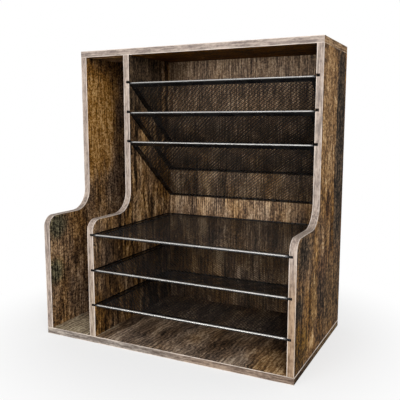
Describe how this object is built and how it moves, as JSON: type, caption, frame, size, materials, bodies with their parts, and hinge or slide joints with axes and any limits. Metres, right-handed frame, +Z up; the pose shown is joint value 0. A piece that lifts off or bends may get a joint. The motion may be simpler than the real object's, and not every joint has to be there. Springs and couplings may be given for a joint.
{
  "type": "desk file organizer",
  "caption": "Free-standing desk organizer with an upright file slot beside a wide bay of flat and sloping mesh trays that slide in grooves between stepped uprights.",
  "frame": {"origin": "middle of the underside of the base", "axes": "+X to the right seen from the front, +Y to the back, +Z up"},
  "size_m": [0.482, 0.286, 0.533],
  "materials": {
    "laminate": "satin paper laminate with a dark rustic wood print, on particle board",
    "edge_band": "satin edge band in a pale taupe wood print",
    "powder_coat": "semi-gloss black powder coat on steel mesh and folded steel",
    "zinc_steel": "zinc-plated steel screws",
    "beech": "plain grooved beech dowels"
  },
  "bodies": {
    "carcass": {"base_board": "laminate", "top_board": "laminate", "left_side_board": "laminate", "divider_board": "laminate", "right_side_board": "laminate", "slot_back_board": "laminate", "main_back_board": "laminate", "left_side_edge_band": "edge_band", "divider_edge_band": "edge_band", "right_side_edge_band": "edge_band", "base_edge_band": "edge_band", "top_edge_band": "edge_band", "base_end_bands": "edge_band", "top_end_bands": "edge_band", "base_screws": "zinc_steel", "top_screws": "zinc_steel", "base_dowels": "beech", "top_dowels": "beech"},
    "lower_shelf": {"lower_shelf_rim": "powder_coat", "lower_shelf_mesh": "powder_coat"},
    "middle_shelf": {"middle_shelf_rim": "powder_coat", "middle_shelf_mesh": "powder_coat"},
    "upper_shelf": {"upper_shelf_rim": "powder_coat", "upper_shelf_mesh": "powder_coat"},
    "lower_pocket": {"lower_pocket_rim": "powder_coat", "lower_pocket_mesh": "powder_coat"},
    "middle_pocket": {"middle_pocket_rim": "powder_coat", "middle_pocket_mesh": "powder_coat"},
    "upper_pocket": {"upper_pocket_rim": "powder_coat", "upper_pocket_mesh": "powder_coat"}
  },
  "joints": [
    {"name": "lower_shelf_slide", "type": "slide", "parent": "carcass", "child": "lower_shelf", "axis": [0, -1, 0], "range_m": [0, 0.18]},
    {"name": "middle_shelf_slide", "type": "slide", "parent": "carcass", "child": "middle_shelf", "axis": [0, -1, 0], "range_m": [0, 0.18]},
    {"name": "upper_shelf_slide", "type": "slide", "parent": "carcass", "child": "upper_shelf", "axis": [0, -1, 0], "range_m": [0, 0.18]},
    {"name": "lower_pocket_slide", "type": "slide", "parent": "carcass", "child": "lower_pocket", "axis": [0, -0.788, 0.6157], "range_m": [0, 0.12]},
    {"name": "middle_pocket_slide", "type": "slide", "parent": "carcass", "child": "middle_pocket", "axis": [0, -0.788, 0.6157], "range_m": [0, 0.12]},
    {"name": "upper_pocket_slide", "type": "slide", "parent": "carcass", "child": "upper_pocket", "axis": [0, -0.788, 0.6157], "range_m": [0, 0.12]}
  ]
}
